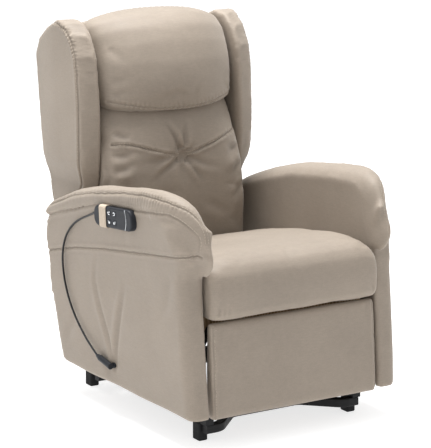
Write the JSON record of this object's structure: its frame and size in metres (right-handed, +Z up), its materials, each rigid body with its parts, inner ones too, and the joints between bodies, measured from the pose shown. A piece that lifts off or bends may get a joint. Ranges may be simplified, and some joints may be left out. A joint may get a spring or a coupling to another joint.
{
  "type": "lift recliner chair",
  "caption": "Upholstered power recliner with wings, arm pads, hinged back, folding leg rest, wired handset and a base that lifts and tilts the seat forward.",
  "frame": {"origin": "on the floor, at the middle of the chair's footprint", "axes": "+Z up, the chair faces -Y, +X to the sitter's left"},
  "size_m": [0.7342, 1.0278, 1.084],
  "materials": {
    "upholstery": "fine grained, soft",
    "painted_steel": "satin",
    "wood_frame": "sawn",
    "dark_plastic": "matte",
    "foot_rubber": "matte",
    "spring_wire": "drawn",
    "deck_felt": "felted",
    "cord_rubber": "matte",
    "strap_fabric": "woven",
    "rod_steel": "turned"
  },
  "bodies": {
    "base": {"base_side_rails": "painted_steel", "base_front_tube": "painted_steel", "base_rear_tube": "painted_steel", "base_feet": "foot_rubber", "base_pivot_brackets": "painted_steel"},
    "lift_rear": {"lift_rear_links": "painted_steel"},
    "lift_front": {"lift_front_links": "painted_steel"},
    "lift_motor": {"lift_actuator_motor": "dark_plastic", "lift_actuator_tube": "painted_steel"},
    "lift_rod": {"lift_actuator_rod": "rod_steel"},
    "chassis": {"mechanism_plates": "painted_steel", "front_cross_tube": "painted_steel", "rear_cross_tube": "painted_steel", "mechanism_pivot_pins": "rod_steel", "seat_front_rail": "wood_frame", "seat_rear_rail": "wood_frame", "seat_side_rails": "wood_frame", "seat_springs": "spring_wire", "seat_deck": "deck_felt", "seat_cushion": "upholstery", "side_cover_left": "upholstery", "side_cover_right": "upholstery", "side_board_left": "wood_frame", "side_board_right": "wood_frame", "inner_side_panels": "upholstery", "arm_pad_left": "upholstery", "arm_pad_right": "upholstery", "frame_spacer_bolts": "rod_steel", "control_box": "dark_plastic", "power_inlet": "dark_plastic", "handset_back_shell": "dark_plastic", "handset_front_shell": "dark_plastic", "handset_strap": "strap_fabric", "handset_strain_relief": "cord_rubber", "handset_cord": "cord_rubber", "cord_plug": "dark_plastic", "cord_socket": "dark_plastic"},
    "recline_motor": {"recline_actuator_motor": "dark_plastic", "recline_actuator_tube": "painted_steel"},
    "recline_rod": {"recline_actuator_rod": "rod_steel"},
    "back": {"back_stiles": "wood_frame", "back_top_rail": "wood_frame", "back_bottom_rail": "wood_frame", "back_hinge_frame": "painted_steel", "back_wing_left": "upholstery", "back_wing_right": "upholstery", "lumbar_cushion": "upholstery", "head_pillow": "upholstery", "back_rear_cover": "upholstery"},
    "leg_crank": {"legrest_cranks": "painted_steel"},
    "leg_guide": {"legrest_guides": "painted_steel"},
    "leg_strut": {"legrest_struts": "painted_steel"},
    "leg_stay": {"legrest_stays": "painted_steel"},
    "leg_board": {"legrest_brackets": "painted_steel", "legrest_board": "wood_frame", "legrest_pad": "upholstery"},
    "button_feet_up": {"button_feet_up": "dark_plastic"},
    "button_feet_down": {"button_feet_down": "dark_plastic"},
    "button_back_up": {"button_back_up": "dark_plastic"},
    "button_back_down": {"button_back_down": "dark_plastic"}
  },
  "joints": [
    {"name": "lift", "type": "hinge", "parent": "base", "child": "lift_rear", "pos_m": [0, -0.2707, 0.1105], "axis": [1, 0, 0], "range_deg": [0, 36.37]},
    {"name": "chassis_tilt", "type": "hinge", "parent": "lift_rear", "child": "chassis", "pos_m": [0, 0.1359, 0.128], "axis": [1, 0, 0], "range_deg": [-9.6, 0]},
    {"name": "lift_front_swing", "type": "hinge", "parent": "base", "child": "lift_front", "pos_m": [0, -0.3136, 0.1001], "axis": [1, 0, 0], "range_deg": [0, 52.6]},
    {"name": "lift_actuator_swing", "type": "hinge", "parent": "base", "child": "lift_motor", "pos_m": [-0.06, 0.108, 0.066], "axis": [1, 0, 0], "range_deg": [0, 1.13]},
    {"name": "lift_rod_extend", "type": "slide", "parent": "lift_motor", "child": "lift_rod", "axis": [0, -0.9123, 0.4094], "range_m": [0, 0.09811]},
    {"name": "back_recline", "type": "hinge", "parent": "chassis", "child": "back", "pos_m": [0, 0.203, 0.255], "axis": [-1, 0, 0], "range_deg": [0, 36]},
    {"name": "recline_actuator_swing", "type": "hinge", "parent": "chassis", "child": "recline_motor", "pos_m": [0.095, -0.19, 0.205], "axis": [-1, 0, 0], "range_deg": [0, 0.647]},
    {"name": "recline_rod_retract", "type": "slide", "parent": "recline_motor", "child": "recline_rod", "axis": [0, 0.9992, -0.0399], "range_m": [-0.04352, 0]},
    {"name": "legrest", "type": "hinge", "parent": "chassis", "child": "leg_crank", "pos_m": [0, -0.352, 0.27], "axis": [-1, 0, 0], "range_deg": [0, 88]},
    {"name": "legrest_guide_swing", "type": "hinge", "parent": "chassis", "child": "leg_guide", "pos_m": [0, -0.306, 0.247], "axis": [-1, 0, 0], "range_deg": [0, 88.1]},
    {"name": "legrest_strut_swing", "type": "hinge", "parent": "leg_crank", "child": "leg_strut", "pos_m": [0, -0.2862, 0.1524], "axis": [-1, 0, 0], "range_deg": [-88.1, 0]},
    {"name": "legrest_stay_swing", "type": "hinge", "parent": "leg_crank", "child": "leg_stay", "pos_m": [0, -0.2882, 0.1024], "axis": [-1, 0, 0], "range_deg": [-88.1, 0]},
    {"name": "legrest_board_swing", "type": "hinge", "parent": "leg_strut", "child": "leg_board", "pos_m": [0, -0.382, 0.312], "axis": [-1, 0, 0], "range_deg": [0, 88.1]},
    {"name": "press_feet_up", "type": "slide", "parent": "chassis", "child": "button_feet_up", "axis": [1, 0, 0], "range_m": [0, 0.0012], "stiffness_N_per_m": 300, "springref_m": -0.001},
    {"name": "press_feet_down", "type": "slide", "parent": "chassis", "child": "button_feet_down", "axis": [1, 0, 0], "range_m": [0, 0.0012], "stiffness_N_per_m": 300, "springref_m": -0.001},
    {"name": "press_back_up", "type": "slide", "parent": "chassis", "child": "button_back_up", "axis": [1, 0, 0], "range_m": [0, 0.0012], "stiffness_N_per_m": 300, "springref_m": -0.001},
    {"name": "press_back_down", "type": "slide", "parent": "chassis", "child": "button_back_down", "axis": [1, 0, 0], "range_m": [0, 0.0012], "stiffness_N_per_m": 300, "springref_m": -0.001}
  ],
  "couplings": [
    {"joint": "chassis_tilt", "follows": "lift", "ratio": -0.25763},
    {"joint": "lift_front_swing", "follows": "lift", "ratio": 1.437},
    {"joint": "lift_actuator_swing", "follows": "lift", "ratio": 0.029646},
    {"joint": "lift_rod_extend", "follows": "lift", "m_per_rad": 0.15303},
    {"joint": "recline_actuator_swing", "follows": "back_recline", "ratio": 0.017105},
    {"joint": "recline_rod_retract", "follows": "back_recline", "m_per_rad": -0.068582},
    {"joint": "legrest_guide_swing", "follows": "legrest", "ratio": 1},
    {"joint": "legrest_strut_swing", "follows": "legrest", "ratio": -1},
    {"joint": "legrest_stay_swing", "follows": "legrest", "ratio": -1},
    {"joint": "legrest_board_swing", "follows": "legrest", "ratio": 1}
  ]
}
